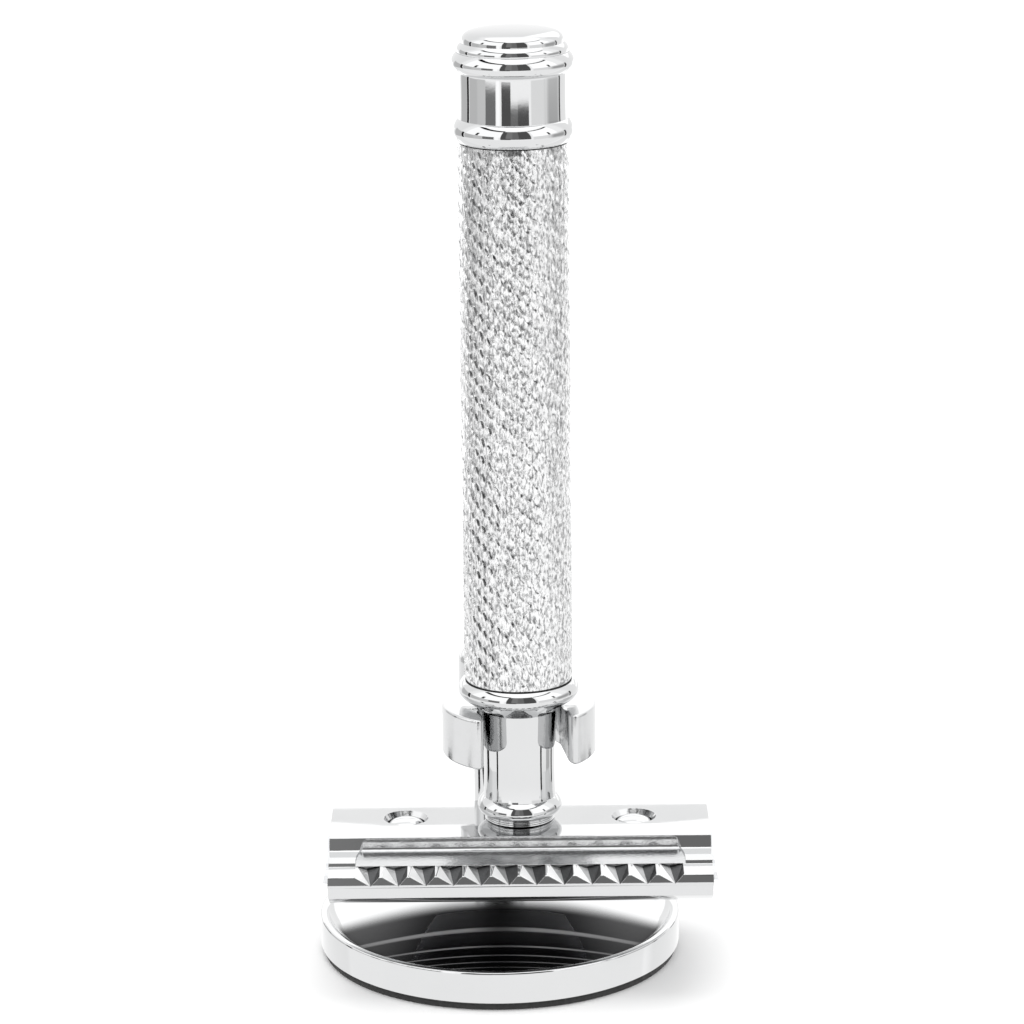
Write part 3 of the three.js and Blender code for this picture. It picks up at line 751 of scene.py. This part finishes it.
def guide_pin(name, x, node_name):
    """A plain pin with a domed upper end."""
    r = PIN_RADIUS
    piece = lathe(
        name,
        soften(path((0, 9.42), (r, 9.42), (r, 16.03), (r, 16.68, 0, 16.78)), 0.05, closed=False),
        [cap_mirror], centre=(HANDLE[0] + x, HANDLE[1]), steps=64,
    )
    settle(piece, "cap", "cap_chrome", node_name)


guard_plate()
cap()
guide_pin("pin_left_turned", -PIN_SPREAD, "guide_pin_left")
guide_pin("pin_right_turned", PIN_SPREAD, "guide_pin_right")

# ---------------------------------------------------------------- CAD nodes that stay

for names, finish in (
    (("base_weight", "post_screw", "post_washer", "fork_grub_screw", "core_rod", "cap_stud"),
     plain_steel),
    (("thread_insert",), brass),
    (("blade",), blade_steel),
):
    for name in names:
        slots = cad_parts[name].material_slots
        for slot in slots:
            slot.material = finish

# ---------------------------------------------------------------- studio


def studio_world():
    """White all round, with dark openings and panel edges where chrome needs them."""
    world = bpy.data.worlds.new("studio")
    bpy.context.scene.world = world
    world.use_nodes = True
    tree = world.node_tree
    tree.nodes.clear()
    place = node(tree, "ShaderNodeTexCoord")
    split = node(tree, "ShaderNodeSeparateXYZ")
    tree.links.new(place.outputs["Generated"], split.inputs[0])
    x, y, z = split.outputs
    flat = maths(tree, "ARCTAN2", x, maths(tree, "MULTIPLY", y, -1.0))
    around = maths(tree, "MULTIPLY", flat, 180 / math.pi)
    up = maths(tree, "MULTIPLY", maths(tree, "ARCSINE", z), 180 / math.pi)
    level = 0.93 ** 2.2 / REFLECTANCE
    for low, high, bottom, top, value, soft in PANELS:
        mask = maths(
            tree, "MULTIPLY",
            band(tree, around, low, high, soft), band(tree, up, bottom, top, soft),
        )
        mix = node(tree, "ShaderNodeMix", data_type="FLOAT")
        plug(tree, mix.inputs[0], mask)
        plug(tree, mix.inputs[2], level)
        mix.inputs[3].default_value = value ** 2.2 / REFLECTANCE
        level = mix.outputs[0]
    rays = node(tree, "ShaderNodeLightPath")
    plain = maths(tree, "ADD", rays.outputs["Is Camera Ray"], rays.outputs["Is Diffuse Ray"],
                  clamp=True)
    mix = node(tree, "ShaderNodeMix", data_type="FLOAT")
    plug(tree, mix.inputs[0], plain)
    plug(tree, mix.inputs[2], level)
    mix.inputs[3].default_value = 1.0
    colour = node(tree, "ShaderNodeCombineColor")
    for socket in colour.inputs:
        tree.links.new(mix.outputs[0], socket)
    background = node(tree, "ShaderNodeBackground")
    tree.links.new(colour.outputs[0], background.inputs[0])
    output = node(tree, "ShaderNodeOutputWorld")
    tree.links.new(background.outputs[0], output.inputs[0])


def band(tree, value, low, high, soft):
    """1 between low and high, fading over soft degrees at each end."""
    rise = remap(tree, value, low - soft / 2, low + soft / 2, 0.0, 1.0)
    fall = remap(tree, value, high - soft / 2, high + soft / 2, 1.0, 0.0)
    return maths(tree, "MULTIPLY", rise, fall)


# Each panel: azimuth from and to, height from and to, brightness as shown, softness, in degrees.
# Azimuth 0 is the camera's side and grows towards +X.
PANELS = (
    # the grey backdrop behind, the white panels overhead and at the two sides of the camera
    (-200, -112, -90, 48, 0.87, 12),
    (112, 200, -90, 48, 0.87, 12),
    (-200, 200, 56, 95, 1.04, 4),
    (-100, -22, 10, 50, 1.0, 4),
    (38, 92, 10, 50, 1.02, 4),
    # the light ground in front
    (-112, 105, -90, -16, 0.9, 4),
    # the edge of the overhead panel
    (-100, -20, 50, 56, 0.08, 2),
    (36, 92, 50, 53, 0.12, 1.5),
    # a bright corner behind, seen only in the comb's notches
    (138, 172, 17, 50, 1.04, 4),
    # dark edges that run down the neck
    (-77, -71, 13, 30, 0.2, 2),
    (70, 75, 13, 30, 0.2, 2),
    # low bands round the room
    (-136, -112, -14, 12, 0.69, 3),
    (-103, -60, -14, 12, 0.7, 3),
    (-80, -60, -14, 12, 0.74, 6),
    (-111.5, -104.5, -15, 14, 0.15, 1.5),
    (-59.5, -36.5, -11, 12, 0.42, 1.5),
    (-35, -28, -14, 12, 0.99, 2),
    (38, 72, -14, 12, 0.84, 3),
    (74, 112, -14, 12, 0.6, 18),
    (111.5, 116, -15, 14, 0.2, 1.5),
    # the dark opening beside the camera
    (-23, 33, -9.1, 52, 0.4, 1.5),
    (10, 33, -9.1, 52, 0.3, 1.5),
    (-24, -5, -11.6, 52, 0.3, 1.2),
    (-14, -2, 0, 52, 0.45, 3),
)
studio_world()

floor_material, floor_tree, floor_shader = new_material("floor_white")
paper = grain(floor_tree, 60, 4.0)
plug(floor_tree, floor_shader.inputs["Base Color"],
     tint(floor_tree, paper, (0.97, 0.97, 0.97), (0.985, 0.985, 0.985)))
plug(floor_tree, floor_shader.inputs["Roughness"], remap(floor_tree, paper, 0.3, 0.7, 0.8, 0.95))
floor_shader.inputs["Specular IOR Level"].default_value = 0.0
size = 6000
floor = add_piece("floor", [(-size, -size, 0), (size, -size, 0), (size, size, 0), (-size, size, 0)],
                  [(0, 1, 2, 3)], [floor_material])
floor.visible_glossy = False


def card(name, azimuth, distance, width, low, high, shown):
    """An upright card, lit to the brightness it shows in chrome, that only chrome sees."""
    material = bpy.data.materials.new(name)
    material.use_nodes = True
    tree = material.node_tree
    tree.nodes.clear()
    speckle = grain(tree, 40, 2.0)
    level = shown ** 2.2 / REFLECTANCE
    glow = node(tree, "ShaderNodeEmission")
    plug(tree, glow.inputs["Color"], tint(tree, speckle, (level * 0.97,) * 3, (level,) * 3))
    output = node(tree, "ShaderNodeOutputMaterial")
    tree.links.new(glow.outputs[0], output.inputs[0])
    a = math.radians(azimuth)
    out, along = Vector((math.sin(a), -math.cos(a))), Vector((math.cos(a), math.sin(a)))
    corners = []
    for side, z in ((-1, low), (1, low), (1, high), (-1, high)):
        p = Vector(HANDLE) + out * distance + along * (side * width / 2)
        corners.append((p.x, p.y, z))
    piece = add_piece(name, corners, [(0, 1, 2, 3)], [material])
    piece.visible_camera = False
    piece.visible_diffuse = False
    piece.visible_shadow = False


card("card_back_high", 180, 85, 150, 49, 102, 1.0)
card("card_back_low", 180, 85, 150, 26, 40.5, 1.0)
card("flag_left_rear", -119, 50, 11, 1, 10, 0.12)
card("flag_left", -74, 50, 5, 1, 10, 0.12)
card("flag_right", 72, 50, 5, 1, 10, 0.12)
card("flag_right_side", 103, 50, 16, 1, 10, 0.66)
card("flag_right_rear", 123, 50, 7, 1, 10, 0.12)

lamp = bpy.data.lights.new("overhead", "AREA")
lamp.shape = "RECTANGLE"
lamp.size, lamp.size_y = 0.5, 0.35
lamp.energy = 1.2
lamp_object = bpy.data.objects.new("overhead", lamp)
lamp_object.location = (0.0, 0.05, 0.55)
lamp_object.visible_glossy = False
bpy.context.scene.collection.objects.link(lamp_object)

# ---------------------------------------------------------------- camera

ELEVATION = math.radians(15.2)
DISTANCE = 441 * MM
ROLL = math.radians(-0.58)
target = Vector((1.82, -4.93, 51.5)) * MM
camera = bpy.data.cameras.new("camera")
camera.lens = 144
camera.sensor_width = 36
camera.clip_start = 0.01
camera.clip_end = 20
camera_object = bpy.data.objects.new("camera", camera)
back = Vector((0, -math.cos(ELEVATION), math.sin(ELEVATION)))
turn = back.to_track_quat("Z", "Y").to_matrix().to_4x4() @ Matrix.Rotation(ROLL, 4, "Z")
camera_object.matrix_world = Matrix.Translation(target + back * DISTANCE) @ turn
bpy.context.scene.collection.objects.link(camera_object)
bpy.context.scene.camera = camera_object

bpy.context.scene.view_settings.view_transform = "Standard"
